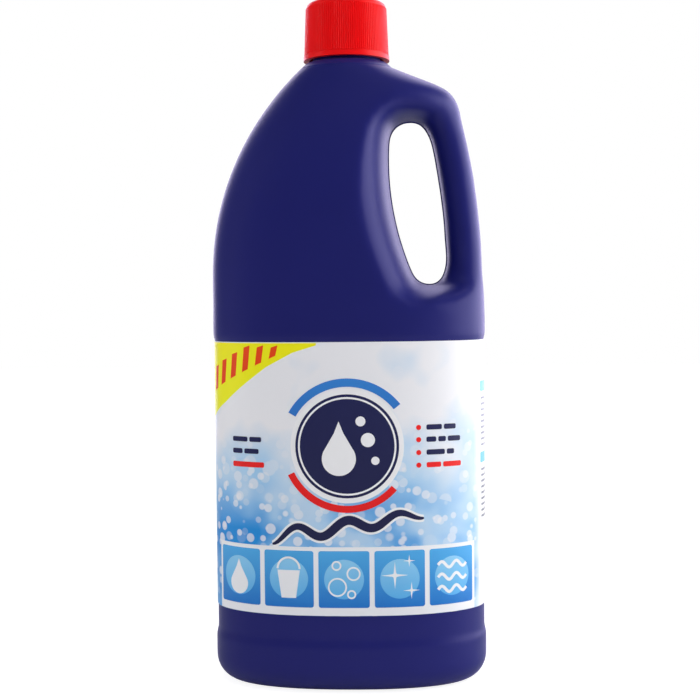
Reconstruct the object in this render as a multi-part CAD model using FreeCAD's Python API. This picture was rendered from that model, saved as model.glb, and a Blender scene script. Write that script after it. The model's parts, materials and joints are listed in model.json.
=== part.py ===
import FreeCAD
import Part
import math
import os
from FreeCAD import Vector

# A two-litre blown bottle with a grip, a sunk label panel and a screw cap, in millimetres.
# The origin is the middle of the foot, on the neck's axis. +Z is up, +X is the grip's side, -Y the front.

# Body
half_width = 68.4
half_depth = 37.5
roundness = 2.3
wall = 1.0
foot_corner = 13.0
left_shoulder_rise = 30.0
front_shoulder_rise = 52.0
shoulder_height = 132.8
shoulder_top_radius = 23.6
roof_slope = 21.4
roof_corner = 14.0
foot_levels = 5
shoulder_levels = 11
outline_points = 24

# Hollow under the foot
hollow_margin = 21.0
hollow_depth = 2.6
hollow_draft = 3.0

# Label panel and its film
panel_bottom = 24.0
panel_sink = 0.9
panel_step = 1.6
film_foot_margin = 13.4
film_height = 132.0
film_head_margin = 0.4
film_thickness = 0.3
film_gap = 0.1

# Finger opening, as two end circles joined by large arcs
opening_top_x = 31.2
opening_foot_rise = 34.1
opening_head_room = 36.0
opening_top_radius = 10.4
opening_foot_x = 40.4
opening_foot_radius = 9.0
body_side_radius = 144.0
grip_side_radius = 274.0

# Flare from the opening out to the faces of the body
flare_top = 22.0
flare_foot = 21.0
flare_side = 20.0
flare_overshoot = 1.03
flare_levels = 9
crease_round = 4.0
heel_x = 50.0
heel_radius = 22.0
heel_turn = 75.0

# Grip
grip_back_rise = 12.0
grip_back_inset = 9.9
grip_half_depth = 12.6
grip_roundness = 2.1
grip_levels = 17
grip_root_depth = 19.0
grip_crown_depth = 13.2
grip_spread_reach = 18.0
grip_burial = 12.0
grip_tuck = 1.5
grip_corner_share = 0.9
grip_seam_step = 0.3

# Neck
collar_radius = 20.4
collar_height = 2.8
collar_ledge = 0.4
collar_root = 1.0
neck_radius = 17.0
neck_wall = 1.5
neck_height = 26.3
bead_radius = 18.0
bead_height = 1.6
bead_rise = 6.0

# Screw thread, with the same starts on the neck and in the cap
thread_lead = 12.0
thread_starts = 3
thread_turns = 0.7
thread_height = 1.3
thread_root_width = 1.8
thread_crest_width = 1.0
thread_rise = 12.4
thread_sink = 0.5
thread_crest_gap = 0.4

# Cap
cap_foot_gap = 1.6
cap_foot_radius = 21.5
cap_lip_height = 2.0
cap_lip_step = 0.25
cap_top_radius = 20.2
cap_top_thickness = 2.0
cap_corner = 2.2
rib_count = 120
rib_height = 0.35
rib_crest_share = 0.36
rib_margin = 0.8
rib_skin = 0.05

# Liner
liner_thickness = 1.5
liner_gap = 0.1
liner_side_gap = 0.3

# Worked out from the sizes above
film_bottom = panel_bottom + panel_step + film_foot_margin
panel_top = film_bottom + film_height + film_head_margin + panel_step
grip_back_start = panel_top + grip_back_rise
left_shoulder_start = panel_top + left_shoulder_rise
front_shoulder_start = panel_top + front_shoulder_rise
shoulder_top = panel_top + shoulder_height
opening_foot_z = panel_top + opening_foot_rise
opening_top_z = shoulder_top - opening_head_room
collar_top = shoulder_top + collar_height
neck_top = collar_top + neck_height
bore_radius = neck_radius - neck_wall
thread_bottom = collar_top + thread_rise
thread_pitch = thread_lead / thread_starts
cap_bottom = collar_top + cap_foot_gap
cap_bore = neck_radius + thread_height + thread_crest_gap
liner_bottom = neck_top + liner_gap
cap_roof = liner_bottom + liner_thickness + liner_gap
cap_top = cap_roof + cap_top_thickness
opening_foot_end = opening_foot_z - opening_foot_radius
opening_top_end = opening_top_z + opening_top_radius


# Outline of the body, as reaches from the neck's axis at a height

def arc_drop(start, stop, drop, z):
    if z <= start:
        return 0.0
    run = stop - start
    radius = (run * run + drop * drop) / (2 * drop)
    return radius - math.sqrt(radius * radius - (z - start) ** 2)


def left_reach(z):
    return half_width - arc_drop(left_shoulder_start, shoulder_top, half_width - shoulder_top_radius, z)


def front_reach(z):
    return half_depth - arc_drop(front_shoulder_start, shoulder_top, half_depth - shoulder_top_radius, z)


def right_reach(z):
    back = half_width - arc_drop(grip_back_start, opening_top_end, grip_back_inset, z)
    roof = shoulder_top_radius + (shoulder_top - z) / math.tan(math.radians(roof_slope))
    blend = max(roof_corner - abs(back - roof), 0.0) / roof_corner
    return min(back, roof) - blend * blend * roof_corner / 4


# Ovals, as closed curves through points of a rounded oval, moved outwards by grow

def closed_curve(points):
    steps = len(points)
    curve = Part.BSplineCurve()
    curve.interpolate(Points=points, PeriodicFlag=True, Parameters=[step / steps for step in range(steps + 1)])
    return Part.Wire([curve.toShape()])


def oval(left, right, depth, power, z, grow):
    middle = (right - left) / 2
    width = (right + left) / 2
    points = []
    for step in range(outline_points):
        angle = 2 * math.pi * step / outline_points
        x = width * math.copysign(abs(math.cos(angle)) ** (2 / power), math.cos(angle))
        y = depth * math.copysign(abs(math.sin(angle)) ** (2 / power), math.sin(angle))
        normal_x = math.copysign(abs(x / width) ** (power - 1), x) / width
        normal_y = math.copysign(abs(y / depth) ** (power - 1), y) / depth
        length = math.hypot(normal_x, normal_y)
        points.append(Vector(middle + x + grow * normal_x / length, y + grow * normal_y / length, z))
    return closed_curve(points)


def body_oval(z, grow):
    rise = max(z - front_shoulder_start, 0.0) / (shoulder_top - front_shoulder_start)
    power = roundness - (roundness - 2.0) * rise ** 1.5
    return oval(left_reach(z), right_reach(z), front_reach(z), power, z, grow)


def straight_oval(z, grow):
    return oval(half_width, half_width, half_depth, roundness, z, grow)


def foot_oval(z, inset, grow):
    return oval(half_width - inset, half_width - inset, half_depth - inset, roundness, z, grow)


def foot(grow, floor):
    corner = foot_corner + grow
    sections = []
    for level in range(foot_levels + 1):
        angle = math.pi / 2 * level / foot_levels
        inset = corner * (1 - math.sin(angle))
        sections.append(foot_oval(floor + corner * (1 - math.cos(angle)), inset, grow))
    return Part.makeLoft(sections, True, False)


def straight_walls(grow, floor):
    levels = [
        (floor + foot_corner + grow, grow),
        (panel_bottom, grow),
        (panel_bottom + panel_step, grow - panel_sink),
        (panel_top - panel_step, grow - panel_sink),
        (panel_top, grow),
        (grip_back_start + grow, grow),
    ]
    return Part.makeLoft([straight_oval(z, size) for z, size in levels], True, True)


def shoulder(grow):
    rise = shoulder_top - grip_back_start
    sections = []
    for level in range(shoulder_levels + 1):
        share = 1 - (1 - level / shoulder_levels) ** 1.7
        sections.append(body_oval(grip_back_start + rise * share, grow))
    form = Part.makeLoft(sections, True, False)
    form.translate(Vector(0, 0, grow))
    return form


# The finger opening

def side_hub(top, foot, top_radius, foot_radius, side_radius, side):
    line = foot - top
    along = line * (1 / line.Length)
    across = Vector(-along.z, 0, along.x) * side
    near = side_radius - top_radius
    far = side_radius - foot_radius
    reach = (near * near - far * far + line.Length ** 2) / (2 * line.Length)
    return top + along * reach + across * math.sqrt(near * near - reach * reach)


def touch_point(centre, radius, hub):
    return centre + (centre - hub).normalize() * radius


def arc_about(centre, start, stop):
    middle = ((start - centre) + (stop - centre)).normalize() * (start - centre).Length
    return Part.Arc(start, centre + middle, stop).toShape()


def opening_ring(spread, grow, y):
    top = Vector(opening_top_x, y, opening_top_z)
    foot = Vector(opening_foot_x, y, opening_foot_z)
    top_radius = opening_top_radius + flare_top * spread + grow
    foot_radius = opening_foot_radius + flare_foot * spread + grow
    side_radius = body_side_radius + flare_side * spread + grow
    hub = side_hub(top, foot, top_radius, foot_radius, side_radius, 1)
    upper = touch_point(top, top_radius, hub)
    lower = touch_point(foot, foot_radius, hub)
    top_end = top + Vector(0, 0, top_radius)
    foot_end = foot - Vector(0, 0, foot_radius)
    heel = Vector(heel_x, y, foot_end.z + heel_radius + grow)
    turn = math.radians(heel_turn)
    heel_start = heel - Vector(0, 0, heel_radius + grow)
    heel_end = heel + Vector(math.sin(turn), 0, -math.cos(turn)) * (heel_radius + grow)
    beyond = 1.3 * half_width
    far_top = Vector(beyond, y, top_end.z)
    far_heel = Vector(beyond, y, heel_end.z)
    return Part.Wire([
        arc_about(top, top_end, upper),
        arc_about(hub, upper, lower),
        arc_about(foot, lower, foot_end),
        Part.LineSegment(foot_end, heel_start).toShape(),
        arc_about(heel, heel_start, heel_end),
        Part.LineSegment(heel_end, far_heel).toShape(),
        Part.LineSegment(far_heel, far_top).toShape(),
        Part.LineSegment(far_top, top_end).toShape(),
    ])


def opening_cut(grow):
    reach = half_depth * flare_overshoot + grow
    rings = []
    for level in range(flare_levels):
        angle = math.radians(180 * level / (flare_levels - 1) - 90)
        rings.append(opening_ring(1 - math.cos(angle), -grow, reach * math.sin(angle)))
    return Part.makeLoft(rings, True, False)


def is_crease(edge):
    box = edge.BoundBox
    low = opening_foot_end - flare_foot - 1
    high = opening_top_end + flare_top + 1
    one_side = box.YMin > -1 or box.YMax < 1
    return one_side and box.YLength > 1 and box.ZMin > low and box.ZMax < high


# The grip, as a stack of ovals between the opening and the back of the body

def grip_inner(z):
    top = Vector(opening_top_x, 0, opening_top_z)
    foot = Vector(opening_foot_x, 0, opening_foot_z)
    hub = side_hub(top, foot, opening_top_radius, opening_foot_radius, grip_side_radius, -1)
    upper = touch_point(top, opening_top_radius, hub)
    lower = touch_point(foot, opening_foot_radius, hub)
    if z > upper.z:
        level = min(z - opening_top_z, grip_corner_share * opening_top_radius)
        return opening_top_x + math.sqrt(opening_top_radius ** 2 - level ** 2)
    if z < lower.z:
        level = min(opening_foot_z - z, grip_corner_share * opening_foot_radius)
        return opening_foot_x + math.sqrt(opening_foot_radius ** 2 - level ** 2)
    return hub.x + math.sqrt(grip_side_radius ** 2 - (z - hub.z) ** 2)


def grip(grow):
    low = opening_foot_end - grip_burial
    high = opening_top_end + grip_burial / 2
    sections = []
    for level in range(grip_levels):
        z = low + (high - low) * (1 - math.cos(math.pi * level / (grip_levels - 1))) / 2
        root = max(1 - (z - low) / grip_spread_reach, 0.0) ** 2
        crown = max(1 - (high - z) / grip_spread_reach, 0.0) ** 2
        depth = grip_half_depth
        depth += (grip_root_depth - grip_half_depth) * root
        depth += (grip_crown_depth - grip_half_depth) * crown
        outer = right_reach(z) - grip_seam_step - grip_tuck * (root + crown)
        sections.append(oval(-grip_inner(z), outer, depth, grip_roundness, z, grow))
    return Part.makeLoft(sections, True, False)


def body_form(grow):
    floor = max(-grow, 0.0)
    form = foot(grow, floor).fuse(straight_walls(grow, floor)).fuse(shoulder(grow))
    form = form.cut(opening_cut(grow))
    form = form.makeFillet(crease_round + grow, [edge for edge in form.Edges if is_crease(edge)])
    return form.fuse(grip(grow))


def foot_hollow(grow, floor):
    width = half_width - hollow_margin + grow
    depth = half_depth - hollow_margin + grow
    lower = oval(width, width, depth, roundness, floor, 0)
    width -= hollow_draft
    depth -= hollow_draft
    upper = oval(width, width, depth, roundness, floor + hollow_depth, 0)
    return Part.makeLoft([lower, upper], True, True)


# Neck and thread

def cylinder(radius, bottom, height):
    return Part.makeCylinder(radius, height, Vector(0, 0, bottom))


def thread(root_radius, crest_radius, bottom):
    inward = 1 if crest_radius < root_radius else -1
    root = root_radius + thread_sink * inward
    height = abs(crest_radius - root_radius)
    half_crest = thread_crest_width / 2
    half_root = half_crest + (thread_root_width - thread_crest_width) / 2 * (height + thread_sink) / height
    helix = Part.makeHelix(thread_lead, thread_lead * thread_turns, root)
    profile = Part.makePolygon([
        Vector(root, 0, -half_root),
        Vector(crest_radius, 0, -half_crest),
        Vector(crest_radius, 0, half_crest),
        Vector(root, 0, half_root),
        Vector(root, 0, -half_root),
    ])
    ridge = Part.Wire(helix.Edges).makePipeShell([profile], True, True)
    ridge.translate(Vector(0, 0, bottom))
    ridges = []
    for start in range(thread_starts):
        copy = ridge.copy()
        copy.rotate(Vector(0, 0, 0), Vector(0, 0, 1), 360 * start / thread_starts)
        ridges.append(copy)
    return ridges


def neck():
    tube = cylinder(neck_radius, shoulder_top, neck_top - shoulder_top)
    for ridge in thread(neck_radius, neck_radius + thread_height, thread_bottom):
        tube = tube.fuse(ridge)
    collar_foot = shoulder_top_radius - collar_ledge
    collar = Part.makeCone(collar_foot, collar_radius, collar_height, Vector(0, 0, shoulder_top))
    collar = collar.fuse(cylinder(collar_foot, shoulder_top - collar_root, collar_root))
    bead = cylinder(bead_radius, collar_top + bead_rise, bead_height)
    return collar.fuse(bead).fuse(tube)


def throat():
    mouth = shoulder_top_radius - wall - collar_ledge
    start = shoulder_top - wall
    funnel = Part.makeCone(mouth, bore_radius, collar_top - wall - start, Vector(0, 0, start))
    funnel = funnel.fuse(cylinder(mouth, start - collar_root, collar_root))
    return funnel.fuse(cylinder(bore_radius, start, neck_top - start + wall))


def bottle_body():
    outer = body_form(0.0).fuse(neck())
    outer = outer.cut(foot_hollow(0.0, 0.0))
    cavity = body_form(-wall).cut(foot_hollow(wall, wall))
    return outer.cut([cavity, throat()])


# Cap

def cap_side_radius(z):
    low = cap_bottom
    high = cap_top - cap_corner
    foot = cap_foot_radius - cap_lip_step
    return foot + (cap_top_radius - foot) * (z - low) / (high - low)


def cap_core():
    lip_top = cap_bottom + cap_lip_height
    side_foot = cap_side_radius(lip_top) - rib_height - rib_skin
    side_head = cap_side_radius(cap_top) - rib_height - rib_skin
    lip = Part.makeCone(cap_foot_radius, cap_side_radius(lip_top) + cap_lip_step, cap_lip_height,
                        Vector(0, 0, cap_bottom))
    side = Part.makeCone(side_foot, side_head, cap_top - lip_top, Vector(0, 0, lip_top))
    top = [edge for edge in side.Edges if edge.BoundBox.ZMin > cap_top - 0.01]
    return lip.fuse(side.makeFillet(cap_corner, top))


def rib_outline(z):
    crest = cap_side_radius(z)
    root = crest - rib_height
    pitch = 2 * math.pi / rib_count
    points = []
    for rib in range(rib_count):
        for radius, turn in ((crest, -rib_crest_share / 2), (crest, rib_crest_share / 2), (root, 0.5)):
            angle = (rib + turn) * pitch
            points.append(Vector(radius * math.cos(angle), radius * math.sin(angle), z))
    return Part.makePolygon(points + points[:1])


def cap_ribs():
    low = cap_bottom + cap_lip_height + rib_margin
    high = cap_top - cap_corner - rib_margin / 2
    return Part.makeLoft([rib_outline(low), rib_outline(high)], True, True)


def screw_cap():
    inside = cylinder(cap_bore, cap_bottom - 1, cap_roof - cap_bottom + 1)
    for ridge in thread(cap_bore, neck_radius + thread_crest_gap, thread_bottom + thread_pitch / 2):
        inside = inside.cut(ridge)
    return cap_core().fuse(cap_ribs()).cut(inside)


def cap_liner():
    return cylinder(cap_bore - liner_side_gap, liner_bottom, liner_thickness)


# Label film

def wrap_label():
    inside = film_gap - panel_sink
    around = Vector(0, 0, film_height)
    outer = Part.Face(straight_oval(film_bottom, inside + film_thickness)).extrude(around)
    return outer.cut(Part.Face(straight_oval(film_bottom, inside)).extrude(around))


def write(name, shape):
    shape.exportStep("parts/" + name + ".step")
    print(name, "valid", shape.isValid(), "solids", len(shape.Solids), "volume", round(shape.Volume, 1))


os.makedirs("parts", exist_ok=True)
write("cap_liner", cap_liner())
write("wrap_label", wrap_label())
write("screw_cap", screw_cap())
write("bottle_body", bottle_body())
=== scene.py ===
import bisect
import bpy
import json
import math
import numpy
from mathutils import Matrix, Vector

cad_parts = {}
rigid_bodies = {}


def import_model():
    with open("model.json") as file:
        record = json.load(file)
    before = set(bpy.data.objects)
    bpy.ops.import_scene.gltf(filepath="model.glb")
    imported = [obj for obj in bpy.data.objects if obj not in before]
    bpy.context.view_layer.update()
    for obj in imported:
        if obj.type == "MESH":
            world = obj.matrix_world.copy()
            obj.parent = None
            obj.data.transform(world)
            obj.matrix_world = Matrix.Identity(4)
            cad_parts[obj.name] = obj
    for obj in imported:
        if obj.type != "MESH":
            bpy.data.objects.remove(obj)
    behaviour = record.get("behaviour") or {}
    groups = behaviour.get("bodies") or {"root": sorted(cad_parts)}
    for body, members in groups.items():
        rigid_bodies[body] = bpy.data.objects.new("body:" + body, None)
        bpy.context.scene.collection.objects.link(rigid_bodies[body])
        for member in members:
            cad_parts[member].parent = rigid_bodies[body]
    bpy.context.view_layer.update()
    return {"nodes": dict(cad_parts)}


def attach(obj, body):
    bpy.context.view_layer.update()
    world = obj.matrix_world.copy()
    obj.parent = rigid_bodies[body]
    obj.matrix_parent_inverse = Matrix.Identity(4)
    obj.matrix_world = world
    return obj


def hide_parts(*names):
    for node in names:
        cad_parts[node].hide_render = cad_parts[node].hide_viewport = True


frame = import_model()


# Small helpers for the whole scene

def deselectAll():
    if bpy.context.object and bpy.context.object.mode != "OBJECT":
        bpy.ops.object.mode_set(mode="OBJECT")
    bpy.ops.object.select_all(action="DESELECT")


def makeActive(piece):
    deselectAll()
    piece.select_set(True)
    bpy.context.view_layer.objects.active = piece


def srgb(red, green, blue):
    # a colour as it is picked on screen, 0 to 255, made linear for the shader
    parts = []
    for value in (red, green, blue):
        share = value / 255
        parts.append(share / 12.92 if share < 0.04045 else ((share + 0.055) / 1.055) ** 2.4)
    return (parts[0], parts[1], parts[2], 1.0)


# Camera, as in the photograph

view = {
    "eye": (0.0245, -0.6681, 0.192),
    "tilt": 2.25,          # degrees down
    "aim": (0.0005, 0.0),  # point on the floor plan that it looks over
    "roll": 0.5,
    "lens": 68.1,
    "sensor": 36.0,
}


def makeCamera():
    bpy.ops.object.camera_add(location=view["eye"])
    camera = bpy.context.object
    camera.name = "photoCamera"
    eye = Vector(view["eye"])
    flat = Vector((view["aim"][0] - eye.x, view["aim"][1] - eye.y, 0)).normalized()
    tilt = math.radians(view["tilt"])
    look = (flat * math.cos(tilt) + Vector((0, 0, -math.sin(tilt)))).normalized()
    turn = look.to_track_quat("-Z", "Y").to_matrix().to_4x4()
    roll = Matrix.Rotation(math.radians(-view["roll"]), 4, "Z")
    camera.matrix_world = Matrix.Translation(eye) @ turn @ roll
    camera.data.lens = view["lens"]
    camera.data.sensor_width = view["sensor"]
    camera.data.clip_start = 0.01
    bpy.context.scene.camera = camera


deselectAll()
makeCamera()
bpy.context.scene.view_settings.view_transform = "Standard"
print("camera set")


# Node materials

def newMaterial(name):
    material = bpy.data.materials.new(name)
    material.use_nodes = True
    tree = material.node_tree
    tree.nodes.clear()
    output = tree.nodes.new("ShaderNodeOutputMaterial")
    shader = tree.nodes.new("ShaderNodeBsdfPrincipled")
    tree.links.new(shader.outputs["BSDF"], output.inputs["Surface"])
    return material, tree, shader


def addNode(tree, kind, **settings):
    node = tree.nodes.new("ShaderNode" + kind)
    for name, value in settings.items():
        if hasattr(node, name):
            setattr(node, name, value)
        else:
            node.inputs[name.replace("_", " ")].default_value = value
    return node


def objectPoint(tree):
    return tree.nodes.new("ShaderNodeTexCoord").outputs["Object"]


def noise(tree, point, scale, detail=3.0, roughness=0.5):
    node = tree.nodes.new("ShaderNodeTexNoise")
    node.inputs["Scale"].default_value = scale
    node.inputs["Detail"].default_value = detail
    node.inputs["Roughness"].default_value = roughness
    tree.links.new(point, node.inputs["Vector"])
    return node.outputs["Fac"]


def ramp(tree, value, stops):
    node = tree.nodes.new("ShaderNodeValToRGB")
    while len(node.color_ramp.elements) < len(stops):
        node.color_ramp.elements.new(0.5)
    for element, (place, colour) in zip(node.color_ramp.elements, stops):
        element.position = place
        element.color = colour
    tree.links.new(value, node.inputs["Fac"])
    return node.outputs["Color"]


def remap(tree, value, low, high, toLow, toHigh):
    node = tree.nodes.new("ShaderNodeMapRange")
    node.inputs["From Min"].default_value = low
    node.inputs["From Max"].default_value = high
    node.inputs["To Min"].default_value = toLow
    node.inputs["To Max"].default_value = toHigh
    tree.links.new(value, node.inputs["Value"])
    return node.outputs["Result"]


def bump(tree, height, strength, distance):
    node = tree.nodes.new("ShaderNodeBump")
    node.inputs["Strength"].default_value = strength
    node.inputs["Distance"].default_value = distance
    tree.links.new(height, node.inputs["Height"])
    return node.outputs["Normal"]


def plasticMaterial(name, finish):
    material, tree, shader = newMaterial(name)
    point = objectPoint(tree)
    cloud = noise(tree, point, finish["cloudScale"], 2.0)
    colour = ramp(tree, cloud, [(0.3, finish["dark"]), (0.7, finish["light"])])
    tree.links.new(colour, shader.inputs["Base Color"])
    grain = noise(tree, point, finish["grainScale"], 3.0, 0.6)
    rough = remap(tree, grain, 0.3, 0.7, finish["roughLow"], finish["roughHigh"])
    tree.links.new(rough, shader.inputs["Roughness"])
    tree.links.new(bump(tree, grain, finish["bump"], finish["bumpDepth"]), shader.inputs["Normal"])
    shader.inputs["Specular IOR Level"].default_value = finish["specular"]
    shader.inputs["Specular Tint"].default_value = finish.get("tint", (1, 1, 1, 1))
    shader.inputs["Sheen Weight"].default_value = finish.get("sheen", 0.0)
    shader.inputs["Sheen Roughness"].default_value = finish.get("sheenRough", 0.5)
    shader.inputs["Sheen Tint"].default_value = finish.get("sheenTint", (1, 1, 1, 1))
    return material


bottlePlastic = {
    "dark": srgb(24, 28, 104), "light": srgb(28, 32, 110),
    "cloudScale": 9.0, "grainScale": 1400.0,
    "roughLow": 0.38, "roughHigh": 0.46,
    "bump": 0.1, "bumpDepth": 0.00006, "specular": 0.34, "tint": (0.66, 0.60, 1.0, 1.0),
    "sheen": 0.5, "sheenRough": 0.22, "sheenTint": (0.52, 0.44, 1.0, 1.0),
}
capPlastic = {
    "dark": srgb(246, 6, 12), "light": srgb(252, 10, 16),
    "cloudScale": 30.0, "grainScale": 2200.0,
    "roughLow": 0.3, "roughHigh": 0.38,
    "bump": 0.08, "bumpDepth": 0.00005, "specular": 0.2,
}
linerFoam = {
    "dark": srgb(222, 224, 224), "light": srgb(238, 239, 238),
    "cloudScale": 120.0, "grainScale": 1800.0,
    "roughLow": 0.6, "roughHigh": 0.75,
    "bump": 0.4, "bumpDepth": 0.00015, "specular": 0.3,
}
labelPaper = {
    "dark": srgb(226, 232, 240), "light": srgb(240, 243, 247),
    "cloudScale": 60.0, "grainScale": 1400.0,
    "roughLow": 0.3, "roughHigh": 0.36,
    "bump": 0.05, "bumpDepth": 0.00004, "specular": 0.4,
}


def dress(node, material):
    piece = frame["nodes"][node]
    piece.data.materials.clear()
    piece.data.materials.append(material)


navyPlastic = plasticMaterial("navyBottlePlastic", bottlePlastic)
dress("bottle_body", navyPlastic)
dress("screw_cap", plasticMaterial("redCapPlastic", capPlastic))
dress("cap_liner", plasticMaterial("foamLiner", linerFoam))
dress("wrap_label", plasticMaterial("labelFilm", labelPaper))
print("materials made")


# Bottle body: the blown skin, softened where the grip and the opening run into it

bodySkin = {
    "seam": 0.3054,          # height under the collar, where the neck takes over
    "spare": 0.003,
    "voxel": 0.0014,
    "softFrom": 0.180,       # the skin is softened from here up
    "softTo": 0.296,
    "fade": 0.008,
    "evenRounds": 4,
    "softRounds": 24,
    "blendRounds": 80,
    "innerSoft": 0.0006,     # the inner face draws back from the softened skin by as much
    "innerBlend": 0.0026,
    "blends": [              # x, z and reach of the places where the grip grows out of the body
        (0.050, 0.280, 0.032),
        (0.061, 0.198, 0.022),
    ],
}


def copyNode(node, name):
    piece = bpy.data.objects.new(name, frame["nodes"][node].data.copy())
    bpy.context.scene.collection.objects.link(piece)
    makeActive(piece)
    bpy.ops.object.mode_set(mode="EDIT")
    bpy.ops.mesh.select_all(action="SELECT")
    bpy.ops.mesh.remove_doubles(threshold=0.000002)
    bpy.ops.object.mode_set(mode="OBJECT")
    return piece


def cutAcross(piece, height, keepBelow):
    makeActive(piece)
    bpy.ops.object.mode_set(mode="EDIT")
    bpy.ops.mesh.select_all(action="SELECT")
    bpy.ops.mesh.bisect(plane_co=(0, 0, height), plane_no=(0, 0, 1),
                        clear_outer=keepBelow, clear_inner=not keepBelow, threshold=0.0000001)
    bpy.ops.object.mode_set(mode="OBJECT")


def keepShell(piece, outer):
    # the outer skin holds the lowest point of all, and the inner one doesn't
    makeActive(piece)
    bpy.ops.object.mode_set(mode="EDIT")
    bpy.ops.mesh.select_mode(type="VERT")
    bpy.ops.mesh.select_all(action="DESELECT")
    bpy.ops.object.mode_set(mode="OBJECT")
    lowest = min(piece.data.vertices, key=lambda vertex: vertex.co.z)
    lowest.select = True
    bpy.ops.object.mode_set(mode="EDIT")
    bpy.ops.mesh.select_linked()
    if outer:
        bpy.ops.mesh.select_all(action="INVERT")
    bpy.ops.mesh.delete(type="VERT")
    bpy.ops.object.mode_set(mode="OBJECT")


def fade(value, start, stop):
    share = min(max((value - start) / (stop - start), 0.0), 1.0)
    return share * share * (3 - 2 * share)


def weighSkin(piece):
    soft = piece.vertex_groups.new(name="soft")
    blended = piece.vertex_groups.new(name="blended")
    for vertex in piece.data.vertices:
        place = vertex.co
        top = 1 - fade(place.z, bodySkin["softTo"] - bodySkin["fade"], bodySkin["softTo"])
        weight = fade(place.z, bodySkin["softFrom"], bodySkin["softFrom"] + bodySkin["fade"]) * top
        if weight > 0:
            soft.add([vertex.index], weight, "REPLACE")
        blend = 0.0
        for x, z, reach in bodySkin["blends"]:
            away = math.hypot(place.x - x, place.z - z) / reach
            blend = max(blend, 1 - fade(away, 0.45, 1.0))
        if blend * weight > 0:
            blended.add([vertex.index], blend * weight, "REPLACE")


def smoothOut(piece, rounds, group):
    makeActive(piece)
    modifier = piece.modifiers.new("smooth", "SMOOTH")
    modifier.factor = 0.5
    modifier.iterations = rounds
    modifier.vertex_group = group
    bpy.ops.object.modifier_apply(modifier=modifier.name)


def drawBack(piece, distance, group):
    makeActive(piece)
    modifier = piece.modifiers.new("drawBack", "DISPLACE")
    modifier.strength = distance
    modifier.mid_level = 0.0
    modifier.vertex_group = group
    bpy.ops.object.modifier_apply(modifier=modifier.name)


def joinPieces(pieces):
    makeActive(pieces[0])
    for piece in pieces[1:]:
        piece.select_set(True)
    bpy.ops.object.join()
    return pieces[0]


def makeBottleBody():
    skin = copyNode("bottle_body", "bottleSkin")
    cutAcross(skin, bodySkin["seam"] + bodySkin["spare"], True)
    keepShell(skin, True)
    bpy.ops.object.mode_set(mode="EDIT")
    bpy.ops.mesh.select_all(action="DESELECT")
    bpy.ops.mesh.select_non_manifold()
    bpy.ops.mesh.edge_face_add()
    bpy.ops.object.mode_set(mode="OBJECT")
    remesh = skin.modifiers.new("remesh", "REMESH")
    remesh.mode = "VOXEL"
    remesh.voxel_size = bodySkin["voxel"]
    bpy.ops.object.modifier_apply(modifier=remesh.name)
    smoothOut(skin, bodySkin["evenRounds"], "")
    weighSkin(skin)
    smoothOut(skin, bodySkin["softRounds"], "soft")
    smoothOut(skin, bodySkin["blendRounds"], "blended")
    skin.vertex_groups.clear()
    cutAcross(skin, bodySkin["seam"], True)

    inside = copyNode("bottle_body", "bottleInside")
    cutAcross(inside, bodySkin["seam"], True)
    keepShell(inside, False)
    weighSkin(inside)
    drawBack(inside, bodySkin["innerSoft"], "soft")
    drawBack(inside, bodySkin["innerBlend"], "blended")
    inside.vertex_groups.clear()
    body = joinPieces([skin, inside])
    body.name = "bottleBody"
    makeActive(body)
    bpy.ops.object.mode_set(mode="EDIT")
    bpy.ops.mesh.select_all(action="SELECT")
    bpy.ops.mesh.remove_doubles(threshold=0.000002)
    bpy.ops.mesh.select_all(action="DESELECT")
    bpy.ops.mesh.select_non_manifold()
    bpy.ops.mesh.bridge_edge_loops()
    bpy.ops.mesh.select_all(action="DESELECT")
    bpy.ops.object.mode_set(mode="OBJECT")
    bpy.ops.object.shade_smooth_by_angle(angle=math.radians(22))
    body.data.materials.clear()
    body.data.materials.append(navyPlastic)
    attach(body, "bottle")
    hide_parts("bottle_body")
    return body


bottleBody = makeBottleBody()
print("bottle body made", len(bottleBody.data.polygons), "faces")


# Neck: a turned piece from the collar up, and the starts of the screw thread

neck = {
    "turns": 144,
    "profile": [             # radius and height in millimetres, up the outside and down the bore
        (23.6, 305.2), (23.6, 305.7), (23.4, 305.9), (20.7, 308.35), (20.3, 308.6), (17.4, 308.62),
        (17.1, 308.7), (17.0, 309.0), (17.0, 314.3), (17.15, 314.6), (17.8, 314.65), (18.0, 314.85),
        (18.0, 315.95), (17.8, 316.15), (17.15, 316.2), (17.0, 316.5), (17.0, 334.5), (16.75, 334.85),
        (16.4, 334.9), (15.9, 334.9), (15.6, 334.8), (15.5, 334.5), (15.5, 307.6), (15.7, 307.2),
        (20.9, 305.2),
    ],
}
thread = {
    "starts": 3, "turns": 0.7, "lead": 12.0, "foot": 321.0, "steps": 84, "fade": 0.12,
    "root": 16.5, "crest": 18.3, "rootHalf": 1.05, "crestHalf": 0.5,
}


def finishTurned(piece):
    makeActive(piece)
    bpy.ops.object.mode_set(mode="EDIT")
    bpy.ops.mesh.select_all(action="SELECT")
    bpy.ops.mesh.remove_doubles(threshold=0.000002)
    bpy.ops.mesh.normals_make_consistent(inside=False)
    bpy.ops.object.mode_set(mode="OBJECT")
    bpy.ops.object.shade_smooth_by_angle(angle=math.radians(50))
    piece.data.materials.append(navyPlastic)
    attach(piece, "bottle")


def makeNeck():
    rows = neck["profile"]
    deselectAll()
    bpy.ops.mesh.primitive_torus_add(major_segments=neck["turns"], minor_segments=len(rows),
                                     major_radius=0.02, minor_radius=0.001)
    piece = bpy.context.object
    piece.name = "bottleNeck"
    for vertex in piece.data.vertices:
        radius, high = rows[vertex.index % len(rows)]
        turn = 2 * math.pi * (vertex.index // len(rows)) / neck["turns"]
        vertex.co = (radius * 0.001 * math.cos(turn), radius * 0.001 * math.sin(turn), high * 0.001)
    finishTurned(piece)


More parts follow.
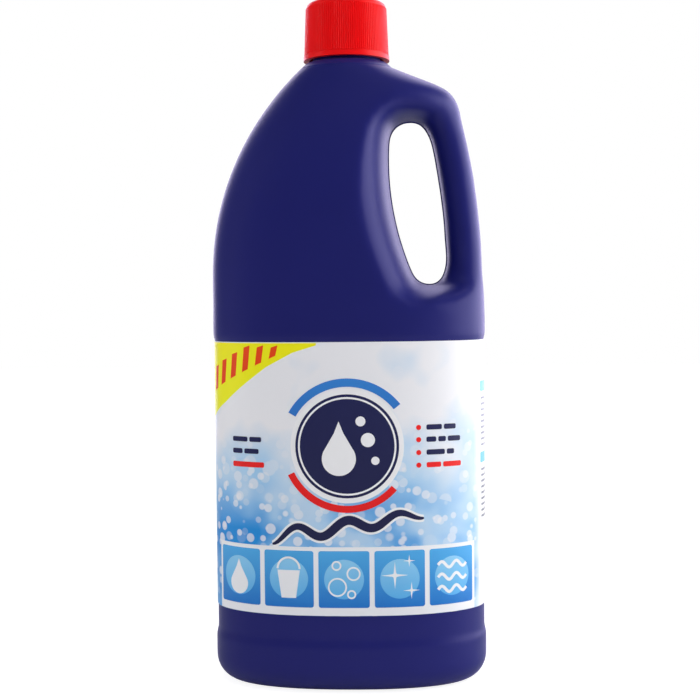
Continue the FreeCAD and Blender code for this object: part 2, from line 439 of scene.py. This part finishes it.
def threadCorner(share, column):
    # how far out and up a corner of the ridge lies, running into the neck at both ends
    grown = fade(min(share, 1 - share), 0.0, thread["fade"])
    outer = column in (1, 2)
    half = thread["crestHalf"] if outer else thread["rootHalf"]
    radius = thread["root"] + (thread["crest"] - thread["root"]) * grown * outer
    return radius, half * grown * (-1 if column in (0, 1, 4) else 1)


def makeThread():
    ridges = []
    for start in range(thread["starts"]):
        deselectAll()
        bpy.ops.mesh.primitive_grid_add(x_subdivisions=thread["steps"], y_subdivisions=4, size=1)
        ridge = bpy.context.object
        for vertex in ridge.data.vertices:
            share = vertex.co.x + 0.5
            radius, rise = threadCorner(share, round((vertex.co.y + 0.5) * 4))
            turn = 2 * math.pi * (start / thread["starts"] + thread["turns"] * share)
            high = thread["foot"] + thread["lead"] * thread["turns"] * share + rise
            vertex.co = (radius * 0.001 * math.cos(turn), radius * 0.001 * math.sin(turn), high * 0.001)
        ridges.append(ridge)
    piece = joinPieces(ridges)
    piece.name = "neckThread"
    finishTurned(piece)


makeNeck()
makeThread()
print("neck and thread made")


# Flash of the mould round the finger opening, and the pinched seam under the foot

flash = {
    "top": (0.0312, 0.2698), "foot": (0.0404, 0.2071),   # x and z of the end circles
    "sideRays": 60, "endRays": 40,
    "proud": 0.0005, "root": 0.0012, "tipHalf": 0.0002, "rootHalf": 0.0005,
}


def flashRays():
    top, foot = Vector(flash["top"]), Vector(flash["foot"])
    along = (foot - top).normalized()
    across = Vector((along.y, -along.x))       # towards the left of the photograph
    if across.x > 0:
        across = -across
    rays = []
    for step in range(flash["sideRays"]):
        rays.append((top.lerp(foot, step / flash["sideRays"]), across))
    for step in range(flash["endRays"]):
        turn = math.pi * step / flash["endRays"]
        rays.append((foot, across * math.cos(turn) + along * math.sin(turn)))
    for step in range(flash["sideRays"]):
        rays.append((foot.lerp(top, step / flash["sideRays"]), -across))
    for step in range(flash["endRays"]):
        turn = math.pi * step / flash["endRays"]
        rays.append((top, -across * math.cos(turn) - along * math.sin(turn)))
    return rays


def makeFlash():
    bpy.context.view_layer.update()
    rays = flashRays()
    deselectAll()
    bpy.ops.mesh.primitive_torus_add(major_segments=len(rays), minor_segments=4,
                                     major_radius=0.02, minor_radius=0.001)
    piece = bpy.context.object
    piece.name = "openingFlash"
    for index, (start, way) in enumerate(rays):
        hit, place, normal, face = bottleBody.ray_cast(Vector((start.x, 0, start.y)), Vector((way.x, 0, way.y)))
        tip = place - Vector((way.x, 0, way.y)) * flash["proud"]
        root = place + Vector((way.x, 0, way.y)) * flash["root"]
        corners = ((tip, -flash["tipHalf"]), (tip, flash["tipHalf"]),
                   (root, flash["rootHalf"]), (root, -flash["rootHalf"]))
        for side, (middle, half) in enumerate(corners):
            piece.data.vertices[index * 4 + side].co = middle + Vector((0, half, 0))
    makeActive(piece)
    bpy.ops.object.mode_set(mode="EDIT")
    bpy.ops.mesh.select_all(action="SELECT")
    bpy.ops.mesh.normals_make_consistent(inside=False)
    bpy.ops.object.mode_set(mode="OBJECT")
    bpy.ops.object.shade_smooth_by_angle(angle=math.radians(40))
    piece.data.materials.append(navyPlastic)
    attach(piece, "bottle")
    return piece


def makeFootSeam():
    deselectAll()
    bpy.ops.mesh.primitive_cube_add(size=1)
    piece = bpy.context.object
    piece.name = "footSeam"
    for vertex in piece.data.vertices:
        wide = 0.0005 if vertex.co.z < 0 else 0.0009
        vertex.co = (math.copysign(0.044, vertex.co.x), math.copysign(wide, vertex.co.y),
                     0.0019 if vertex.co.z < 0 else 0.0030)
    piece.data.materials.append(navyPlastic)
    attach(piece, "bottle")
    return piece


openingFlash = makeFlash()
footSeam = makeFootSeam()
print("flash and foot seam made")


# Label: the outline of the film round the panel, and places along it

film = {
    "halfWidth": 68.4, "halfDepth": 37.5, "power": 2.3,    # millimetres, like all of the print
    "inset": 0.5, "thick": 0.3, "foot": 39.0, "height": 132.0,
    "knots": 24, "fineSteps": 120, "columns": 288,
}


def filmKnots():
    # from the middle of the front towards the right, and so round
    knots = []
    for step in range(film["knots"]):
        angle = 2 * math.pi * step / film["knots"] - math.pi / 2
        x = film["halfWidth"] * math.copysign(abs(math.cos(angle)) ** (2 / film["power"]), math.cos(angle))
        y = film["halfDepth"] * math.copysign(abs(math.sin(angle)) ** (2 / film["power"]), math.sin(angle))
        outX = math.copysign(abs(x / film["halfWidth"]) ** (film["power"] - 1), x) / film["halfWidth"]
        outY = math.copysign(abs(y / film["halfDepth"]) ** (film["power"] - 1), y) / film["halfDepth"]
        size = math.hypot(outX, outY)
        knots.append((x - film["inset"] * outX / size, y - film["inset"] * outY / size))
    return knots


def smoothThrough(knots, steps):
    # points of the closed cubic curve through the knots
    count = len(knots)
    known = numpy.array(knots)
    system = numpy.zeros((count, count))
    for row in range(count):
        system[row, row] = 4.0
        system[row, row - 1] = 1.0
        system[row, (row + 1) % count] = 1.0
    pull = numpy.roll(known, 1, axis=0) - 2 * known + numpy.roll(known, -1, axis=0)
    bends = numpy.linalg.solve(system, 6 * pull)
    points = []
    for row in range(count):
        after = (row + 1) % count
        for step in range(steps):
            share = step / steps
            rest = 1 - share
            points.append(bends[row] * rest ** 3 / 6 + bends[after] * share ** 3 / 6
                          + (known[row] - bends[row] / 6) * rest
                          + (known[after] - bends[after] / 6) * share)
    return points


filmPoints = smoothThrough(filmKnots(), film["fineSteps"])
filmPoints.append(filmPoints[0])
filmLengths = [0.0]
for before, point in zip(filmPoints, filmPoints[1:]):
    filmLengths.append(filmLengths[-1] + math.hypot(point[0] - before[0], point[1] - before[1]))
filmRound = filmLengths[-1]


def filmPlace(along, lift):
    # metres in the frame, for a length round the film in millimetres from the middle of the front
    along = along % filmRound
    index = min(bisect.bisect_right(filmLengths, along), len(filmLengths) - 1)
    before, after = filmPoints[index - 1], filmPoints[index]
    size = filmLengths[index] - filmLengths[index - 1]
    share = (along - filmLengths[index - 1]) / size
    runX, runY = (after[0] - before[0]) / size, (after[1] - before[1]) / size
    x = before[0] + (after[0] - before[0]) * share + lift * runY
    y = before[1] + (after[1] - before[1]) * share - lift * runX
    return x * 0.001, y * 0.001


# Label: shapes of the print, as outlines in millimetres (length along the film, height)

def disc(along, high, radius, corners=36):
    turns = [2 * math.pi * step / corners for step in range(corners)]
    return [(along + radius * math.cos(turn), high + radius * math.sin(turn)) for turn in turns]


def box(left, foot, right, head, corner=0.0):
    if not corner:
        return [(left, foot), (right, foot), (right, head), (left, head)]
    outline = []
    for x, z, start in ((right - corner, foot + corner, -90), (right - corner, head - corner, 0),
                        (left + corner, head - corner, 90), (left + corner, foot + corner, 180)):
        for step in range(6):
            turn = math.radians(start + 18 * step)
            outline.append((x + corner * math.cos(turn), z + corner * math.sin(turn)))
    return outline


def band(along, high, inner, outer, start, stop, steps=30):
    turns = [math.radians(start + (stop - start) * step / steps) for step in range(steps + 1)]
    outline = [(along + outer * math.cos(turn), high + outer * math.sin(turn)) for turn in turns]
    return outline + [(along + inner * math.cos(turn), high + inner * math.sin(turn)) for turn in reversed(turns)]


def ring(along, high, inner, outer):
    return [band(along, high, inner, outer, 0.05, 359.95, 60)]


def drop(along, high, radius):
    outline = []
    for step in range(31):
        turn = math.radians(-215 + 250 * step / 30)
        outline.append((along + radius * math.cos(turn), high + radius * math.sin(turn)))
    return outline + [(along + 0.28 * radius, high + 1.5 * radius), (along, high + 2.2 * radius),
                      (along - 0.28 * radius, high + 1.5 * radius)]


def star(along, high, radius, waist):
    outline = []
    for step in range(16):
        turn = math.radians(22.5 * step)
        reach = (radius, waist, waist * 0.75, waist)[step % 4]
        outline.append((along + reach * math.cos(turn), high + reach * math.sin(turn)))
    return outline


def stroke(points, widths):
    # a brush stroke along the points, as wide at each as its own value
    left, right = [], []
    for index, (along, high) in enumerate(points):
        before = points[max(index - 1, 0)]
        after = points[min(index + 1, len(points) - 1)]
        run = math.hypot(after[0] - before[0], after[1] - before[1])
        sideX, sideZ = -(after[1] - before[1]) / run, (after[0] - before[0]) / run
        half = widths[index] / 2
        left.append((along + sideX * half, high + sideZ * half))
        right.append((along - sideX * half, high - sideZ * half))
    return right + left[::-1]


def words(left, foot, lengths, tall, gap=1.1):
    # a line of plain bars in the place of words
    bars = []
    for length in lengths:
        bars.append(box(left, foot, left + length, foot + tall, tall * 0.3))
        left += length + gap
    return bars


# Label: the sheets of print, one for each ink

def flatSheet(name, outlines):
    deselectAll()
    bpy.ops.mesh.primitive_circle_add(vertices=len(outlines[0]), fill_type="NGON")
    sheet = bpy.context.object
    sheet.name = name
    bpy.ops.object.mode_set(mode="EDIT")
    for outline in outlines[1:]:
        bpy.ops.mesh.primitive_circle_add(vertices=len(outline), fill_type="NGON")
    bpy.ops.object.mode_set(mode="OBJECT")
    places = []
    for outline in outlines:
        area = sum(a[0] * b[1] - b[0] * a[1] for a, b in zip(outline, outline[1:] + outline[:1]))
        places += outline if area > 0 else outline[::-1]
    for vertex, (along, high) in zip(sheet.data.vertices, places):
        vertex.co = (along * 0.001, 0, high * 0.001)
    return sheet


def cutInColumns(sheet):
    lengths = [vertex.co.x for vertex in sheet.data.vertices]
    makeActive(sheet)
    bpy.ops.object.mode_set(mode="EDIT")
    for column in range(-film["columns"] // 2, film["columns"] // 2):
        along = column * filmRound / film["columns"] * 0.001
        if not min(lengths) < along < max(lengths) or (abs(along) < 0.045 and column % 2):
            continue
        bpy.ops.mesh.select_all(action="SELECT")
        bpy.ops.mesh.bisect(plane_co=(along, 0, 0), plane_no=(1, 0, 0), threshold=0.0000001)
    bpy.ops.object.mode_set(mode="OBJECT")


def thicken(piece, thickness, offset):
    makeActive(piece)
    modifier = piece.modifiers.new("thick", "SOLIDIFY")
    modifier.thickness = thickness * 0.001
    modifier.offset = offset
    bpy.ops.object.modifier_apply(modifier=modifier.name)
    bpy.ops.object.mode_set(mode="EDIT")
    bpy.ops.mesh.select_all(action="SELECT")
    bpy.ops.mesh.remove_doubles(threshold=0.000001)
    bpy.ops.mesh.normals_make_consistent(inside=False)
    bpy.ops.object.mode_set(mode="OBJECT")
    bpy.ops.object.shade_smooth_by_angle(angle=math.radians(30))


def printSheet(name, ink, lift, outlines):
    sheet = flatSheet(name, outlines)
    cutInColumns(sheet)
    for vertex in sheet.data.vertices:
        x, y = filmPlace(vertex.co.x * 1000, lift)
        vertex.co = (x, y, vertex.co.z)
    middle = sheet.data.polygons[0]
    if middle.normal.x * middle.center.x + middle.normal.y * middle.center.y < 0:
        sheet.data.flip_normals()
    thicken(sheet, 0.03, 1.0)
    sheet.data.materials.append(ink)
    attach(sheet, "bottle")
    return sheet


def maths(tree, operation, first, second):
    node = tree.nodes.new("ShaderNodeMath")
    node.operation = operation
    for socket, value in zip(node.inputs, (first, second)):
        if isinstance(value, (int, float)):
            socket.default_value = value
        else:
            tree.links.new(value, socket)
    return node.outputs[0]


def blendColour(tree, share, first, second):
    node = tree.nodes.new("ShaderNodeMix")
    node.data_type = "RGBA"
    tree.links.new(share, node.inputs[0])
    for socket, value in ((node.inputs[6], first), (node.inputs[7], second)):
        if isinstance(value, tuple):
            socket.default_value = value
        else:
            tree.links.new(value, socket)
    return node.outputs[2]


def splitPoint(tree, point):
    node = tree.nodes.new("ShaderNodeSeparateXYZ")
    tree.links.new(point, node.inputs[0])
    return node.outputs


def filmFinish(tree, shader, point):
    grain = noise(tree, point, 1300.0, 2.0)
    tree.links.new(remap(tree, grain, 0.3, 0.7, 0.36, 0.44), shader.inputs["Roughness"])
    tree.links.new(bump(tree, grain, 0.05, 0.00004), shader.inputs["Normal"])
    shader.inputs["Specular IOR Level"].default_value = 0.35


def inkMaterial(name, foot, head, low, high):
    # one ink, running from one colour at a low place to another at a high one
    material, tree, shader = newMaterial(name)
    point = objectPoint(tree)
    rise = remap(tree, splitPoint(tree, point)["Z"], low * 0.001, high * 0.001, 0.0, 1.0)
    waver = maths(tree, "MULTIPLY", maths(tree, "SUBTRACT", noise(tree, point, 90.0), 0.5), 0.12)
    tree.links.new(blendColour(tree, maths(tree, "ADD", rise, waver), foot, head), shader.inputs["Base Color"])
    filmFinish(tree, shader, point)
    return material


filmPrint = {
    "paper": srgb(246, 246, 251), "pale": srgb(168, 214, 250), "deep": srgb(26, 146, 228),
    "bubble": srgb(246, 246, 252),
    "washHead": 0.146, "washFoot": 0.088, "deepHead": 0.106, "deepFoot": 0.080,
    "rightEdge": 0.0615, "backEdge": -0.004,
}


def filmMaterial():
    material, tree, shader = newMaterial("labelFilmPrint")
    point = objectPoint(tree)
    place = splitPoint(tree, point)
    cloud = noise(tree, point, 34.0, 2.0)
    inFront = remap(tree, place["Y"], filmPrint["backEdge"] + 0.004, filmPrint["backEdge"], 0.0, 1.0)
    inside = maths(tree, "MULTIPLY", inFront, remap(tree, place["X"], filmPrint["rightEdge"] + 0.003,
                                                    filmPrint["rightEdge"], 0.0, 1.0))
    waver = maths(tree, "MULTIPLY", maths(tree, "SUBTRACT", cloud, 0.5), 1.9)
    low = remap(tree, place["Z"], filmPrint["washHead"], filmPrint["washFoot"], -0.1, 1.0)
    wash = maths(tree, "MULTIPLY", maths(tree, "MAXIMUM", maths(tree, "ADD", low, waver), 0.0), inside)
    wash = maths(tree, "MINIMUM", wash, 1.0)
    lower = remap(tree, place["Z"], filmPrint["deepHead"], filmPrint["deepFoot"], 0.0, 1.0)
    strong = maths(tree, "MULTIPLY", wash, maths(tree, "MULTIPLY", lower, remap(tree, cloud, 0.4, 0.62, 0.1, 1.0)))
    colour = blendColour(tree, wash, filmPrint["paper"], filmPrint["pale"])
    colour = blendColour(tree, strong, colour, filmPrint["deep"])
    for scale, size, share in ((86.0, 0.34, 0.5), (112.0, 0.32, 0.7), (134.0, 0.34, 0.75), (170.0, 0.34, 0.7)):
        cells = tree.nodes.new("ShaderNodeTexVoronoi")
        cells.inputs["Scale"].default_value = scale
        tree.links.new(point, cells.inputs["Vector"])
        round_ = remap(tree, cells.outputs["Distance"], size, size - 0.05, 0.0, 1.0)
        chosen = remap(tree, splitPoint(tree, cells.outputs["Color"])["X"], 0.25, 0.7, 0.0, share)
        shown = maths(tree, "MULTIPLY", maths(tree, "MULTIPLY", round_, chosen), wash)
        colour = blendColour(tree, shown, colour, filmPrint["bubble"])
    tree.links.new(colour, shader.inputs["Base Color"])
    filmFinish(tree, shader, point)
    return material


def makeFilm():
    deselectAll()
    bpy.ops.mesh.primitive_cylinder_add(vertices=film["columns"], end_fill_type="NOTHING",
                                        depth=film["height"] * 0.001)
    piece = bpy.context.object
    piece.name = "labelFilm"
    for vertex in piece.data.vertices:
        turn = math.atan2(vertex.co.x, -vertex.co.y) / (2 * math.pi)
        x, y = filmPlace(turn * filmRound, 0.0)
        high = film["foot"] + (film["height"] if vertex.co.z > 0 else 0.0)
        vertex.co = (x, y, high * 0.001)
    thicken(piece, film["thick"], -1.0)
    piece.data.materials.append(filmMaterial())
    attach(piece, "bottle")
    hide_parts("wrap_label")
    return piece


labelFilm = makeFilm()
print("label film made")

inks = {
    "white": inkMaterial("inkWhite", srgb(244, 245, 250), srgb(250, 250, 253), 40, 100),
    "yellow": inkMaterial("inkYellow", srgb(252, 255, 6), srgb(255, 248, 4), 130, 171),
    "orange": inkMaterial("inkOrange", srgb(236, 34, 10), srgb(246, 76, 8), 130, 171),
    "navy": inkMaterial("inkNavy", srgb(22, 25, 72), srgb(28, 32, 86), 70, 150),
    "blue": inkMaterial("inkBlue", srgb(40, 104, 196), srgb(54, 140, 224), 120, 160),
    "sky": inkMaterial("inkSky", srgb(16, 116, 206), srgb(84, 182, 244), 42, 74),
    "red": inkMaterial("inkRed", srgb(240, 18, 22), srgb(250, 28, 24), 80, 130),
    "glow": inkMaterial("inkGlow", srgb(84, 178, 240), srgb(150, 214, 252), 46, 68),
    "cyan": inkMaterial("inkCyan", srgb(96, 190, 206), srgb(120, 206, 218), 100, 160),
    "grey": inkMaterial("inkGrey", srgb(120, 126, 136), srgb(140, 146, 156), 60, 160),
}

panels = {"foot": 43.0, "head": 70.5, "width": 24.6, "middles": (-56, -29, -2, 25, 52)}
badge = {"along": 0.0, "high": 121.0, "radius": 25.0}
brush = {"start": (-37, 77.0), "stop": (37, 88.0), "waves": 3.0, "rise": 2.9, "lean": 0.0, "width": 4.4}


def brushPoints():
    points = []
    for step in range(111):
        share = step / 110
        turn = 2 * math.pi * brush["waves"] * share
        tall = brush["rise"] * (1.25 - 0.5 * share)
        along = brush["start"][0] + (brush["stop"][0] - brush["start"][0]) * share + brush["lean"] * 0.5 * math.sin(turn)
        high = brush["start"][1] + (brush["stop"][1] - brush["start"][1]) * share - tall * math.cos(turn)
        points.append((along, high))
    return points


def brushWidths(extra):
    return [brush["width"] * (0.2 + 0.8 * math.sin(math.pi * step / 110) ** 0.6) + extra for step in range(111)]


def panelRow(grow):
    half = panels["width"] / 2 + grow
    return [box(middle - half, panels["foot"] - grow, middle + half, panels["head"] + grow, 1.2)
            for middle in panels["middles"]]


def pictures():
    first, second, third, fourth, fifth = panels["middles"]
    shapes = [drop(first, 53, 5.4)]
    shapes += [[(second - 5.6, 61), (second - 3.6, 47.5), (second + 3.6, 47.5), (second + 5.6, 61)],
               band(second, 61.6, 5.0, 6.0, 0, 180)]
    for along, high, radius in ((-3.2, 53, 4.6), (4.6, 59.5, 3.4), (3.6, 49.5, 2.2), (-3.6, 63.4, 2.4)):
        shapes += ring(third + along, high, radius - 0.8, radius)
    shapes += [star(fourth - 2.5, 58.5, 6.6, 1.5), star(fourth + 5.6, 51, 4.2, 1.0), star(fourth + 4.5, 65.4, 3.0, 0.8)]
    for high in (50.5, 56.5, 62.5):
        points = [(fifth - 8 + 16 * step / 24, high + 1.5 * math.sin(step / 24 * 4 * math.pi)) for step in range(25)]
        shapes.append(stroke(points, [1.5] * 25))
    return shapes


def printLabel():
    along, high, radius = badge["along"], badge["high"], badge["radius"]
    sash = [(-14.5, 169.5), (-26, 166), (-39.5, 159), (-53, 149.5), (-64, 141.5), (-76, 134.5), (-88, 131)]
    halo = stroke(brushPoints(), brushWidths(2.2))
    rows = []
    for foot, lengths in ((128.4, (8, 6.5)), (122.5, (5, 4, 7)), (116.3, (9.5, 4))):
        rows += words(38.5, foot, lengths, 2.5)
    rows += words(-59, 122.6, (9, 6.5), 2.4) + words(-59, 116.8, (6, 8), 2.4)
    greys = []
    for step in range(9):
        greys += words(73.5, 141.5 - 2.9 * step, ((6, 9, 8), (10, 5, 7), (4, 8, 10))[step % 3], 1.1, 0.9)
        greys += words(73.5, 106 - 2.9 * step, ((8, 7, 6), (5, 11, 6), (9, 4, 9))[step % 3], 1.1, 0.9)
        for left in (114, 143, -166, -137):
            greys += words(left, 140 - 2.9 * step, ((7, 9, 6), (11, 5, 6), (5, 8, 9))[(step + left) % 3], 1.1, 0.9)
            greys += words(left, 106 - 2.9 * step, ((9, 5, 8), (6, 10, 6), (12, 9, 0.8))[(step + left) % 3], 1.1, 0.9)
    sideDrops = [drop(120 + 11 * step, 60, 2.6) for step in range(5)]
    printSheet("printWhite", inks["white"], 0.02, [box(-70, 39.1, 66, 72.4), halo, disc(along, high, radius + 2.4, 72)])
    printSheet("printYellow", inks["yellow"], 0.02, [sash + [(-88, 170.6), (-14.5, 170.6)]])
    printSheet("printPanels", inks["sky"], 0.06, panelRow(0.0))
    printSheet("printGlow", inks["glow"], 0.09, [disc(middle, 56.8, 9.6, 48) for middle in panels["middles"]])
    printSheet("printPictures", inks["white"], 0.12, pictures())
    bars = []
    for step in range(6):
        left = -75 + 7.4 * step
        foot = 146.5 + 3.3 * step
        head = min(foot + 13, 169.5)
        bars.append([(left, foot), (left + 3.4, foot + 1.5), (left + 4.6, head), (left + 1.2, head - 1.0)])
    printSheet("printOrange", inks["orange"], 0.06, bars)
    printSheet("printNavy", inks["navy"], 0.07, [disc(along, high, radius, 72), stroke(brushPoints(), brushWidths(0.0))]
               + rows)
    printSheet("printBlue", inks["blue"], 0.07, [band(along, high, radius + 3.6, radius + 7.6, 38, 150)])
    printSheet("printRed", inks["red"], 0.07, [band(along, high, radius + 3.6, radius + 7.0, 206, 318)]
               + [disc(34.6, foot, 1.25, 20) for foot in (129.6, 123.7, 117.5, 111.4)]
               + words(38.5, 110.2, (7.5, 10), 2.5) + words(-59, 110.2, (18,), 2.6))
    printSheet("printBadge", inks["white"], 0.12, [drop(-4, high - 6, 8.2), disc(10, high + 3, 3.4), disc(13.5, high - 7, 2.0),
                                                   disc(6.5, high + 12, 2.4)] + ring(along, high, radius - 2.2, radius - 1.3))
    printSheet("printCyan", inks["cyan"], 0.04, [box(72.5, 145.4, 104, 150.6, 0.8), box(72.5, 110, 104, 115.2, 0.8)]
               + [box(left, 144, left + 24, 149, 0.8) for left in (114, 143, -166, -137)] + sideDrops)
    printSheet("printGrey", inks["grey"], 0.04, greys)
    seam = printSheet("labelOverlap", inks["white"], 0.0, [box(168.6, 39, 172.4, 171)])
    return seam


printLabel()
print("label printed")


# Floor, world and lamps

studio = {
    "floorSize": 6.0,
    "floorColour": (0.86, 0.86, 0.87, 1.0),
    "floorShare": 0.5,       # of its own light, for the camera only
    "floorGlow": 1.75,
    "skyBack": 0.9,
    "skyFront": 0.08,
    "skyFill": 0.38,
    "skyTint": (0.82, 0.76, 1.0, 1.0),
}


def makeFloor():
    deselectAll()
    bpy.ops.mesh.primitive_plane_add(size=studio["floorSize"], location=(0, 0, 0))
    floor = bpy.context.object
    floor.name = "studioFloor"
    material = bpy.data.materials.new("paleFloor")
    material.use_nodes = True
    tree = material.node_tree
    tree.nodes.clear()
    output = tree.nodes.new("ShaderNodeOutputMaterial")
    matte = tree.nodes.new("ShaderNodeBsdfDiffuse")
    matte.inputs["Color"].default_value = studio["floorColour"]
    glow = tree.nodes.new("ShaderNodeEmission")
    glow.inputs["Color"].default_value = (1, 1, 1, 1)
    glow.inputs["Strength"].default_value = studio["floorGlow"]
    blend = tree.nodes.new("ShaderNodeMixShader")
    paths = tree.nodes.new("ShaderNodeLightPath")
    share = tree.nodes.new("ShaderNodeMath")
    share.operation = "MULTIPLY"
    share.inputs[1].default_value = studio["floorShare"]
    tree.links.new(paths.outputs["Is Camera Ray"], share.inputs[0])
    tree.links.new(share.outputs[0], blend.inputs["Fac"])
    tree.links.new(matte.outputs[0], blend.inputs[1])
    tree.links.new(glow.outputs[0], blend.inputs[2])
    tree.links.new(blend.outputs[0], output.inputs["Surface"])
    floor.data.materials.append(material)


def makeSky():
    world = bpy.data.worlds.new("studioSky")
    bpy.context.scene.world = world
    world.use_nodes = True
    tree = world.node_tree
    tree.nodes.clear()
    output = tree.nodes.new("ShaderNodeOutputWorld")
    sky = tree.nodes.new("ShaderNodeBackground")
    white = tree.nodes.new("ShaderNodeBackground")
    white.inputs["Color"].default_value = (1, 1, 1, 1)
    white.inputs["Strength"].default_value = 1.0
    point = tree.nodes.new("ShaderNodeTexCoord").outputs["Generated"]
    split = tree.nodes.new("ShaderNodeSeparateXYZ")
    tree.links.new(point, split.inputs[0])
    paths = tree.nodes.new("ShaderNodeLightPath")
    side = remap(tree, split.outputs["Y"], 0.15, 0.95, studio["skyFront"], studio["skyBack"])
    fill = tree.nodes.new("ShaderNodeMix")
    fill.inputs[2].default_value = studio["skyFill"]
    tree.links.new(paths.outputs["Is Glossy Ray"], fill.inputs[0])
    tree.links.new(side, fill.inputs[3])
    tree.links.new(fill.outputs[0], sky.inputs["Strength"])
    tree.links.new(blendColour(tree, paths.outputs["Is Glossy Ray"], (1.0, 1.0, 1.0, 1.0), studio["skyTint"]),
                   sky.inputs["Color"])
    blend = tree.nodes.new("ShaderNodeMixShader")
    clear = tree.nodes.new("ShaderNodeMath")
    clear.operation = "MAXIMUM"
    tree.links.new(paths.outputs["Is Camera Ray"], clear.inputs[0])
    tree.links.new(paths.outputs["Is Transmission Ray"], clear.inputs[1])
    tree.links.new(clear.outputs[0], blend.inputs["Fac"])
    tree.links.new(sky.outputs[0], blend.inputs[1])
    tree.links.new(white.outputs[0], blend.inputs[2])
    tree.links.new(blend.outputs[0], output.inputs["Surface"])


lamps = [
    # name, place, looks at, width, height, watts, colour, lights surfaces, seen in reflections
    ("rightSoftbox", (0.90, -0.06, 0.26), (0.03, 0, 0.2), 0.9, 1.1, 10.0, (1, 1, 1), True, True),
    ("rightRim", (0.70, 0.62, 0.20), (0.03, 0, 0.18), 0.9, 1.2, 11.0, (0.84, 0.78, 1), False, True),
    ("leftRim", (-0.46, 0.84, 0.24), (-0.03, 0, 0.18), 0.4, 1.4, 5.0, (0.84, 0.78, 1), False, True),
    ("topRim", (0.20, 0.62, 0.98), (0.03, 0, 0.2), 0.8, 0.8, 5.0, (0.84, 0.78, 1), False, True),
    ("leftSoftbox", (-0.95, -0.20, 0.30), (-0.03, 0, 0.18), 0.35, 1.1, 3.0, (1, 1, 1), True, False),
    ("topSoftbox", (0.10, -0.45, 1.05), (0, 0, 0.15), 0.8, 0.6, 2.5, (1, 1, 1), True, False),
]


def makeLamps():
    for name, place, aim, width, height, watts, colour, lit, glossy in lamps:
        deselectAll()
        bpy.ops.object.light_add(type="AREA", location=place)
        lamp = bpy.context.object
        lamp.name = name
        lamp.data.shape = "RECTANGLE"
        lamp.data.size = width
        lamp.data.size_y = height
        lamp.data.energy = watts
        lamp.data.color = colour
        lamp.visible_diffuse = lit
        lamp.visible_glossy = glossy
        lamp.rotation_euler = (Vector(aim) - Vector(place)).to_track_quat("-Z", "Y").to_euler()


makeFloor()
makeSky()
makeLamps()
print("studio set")
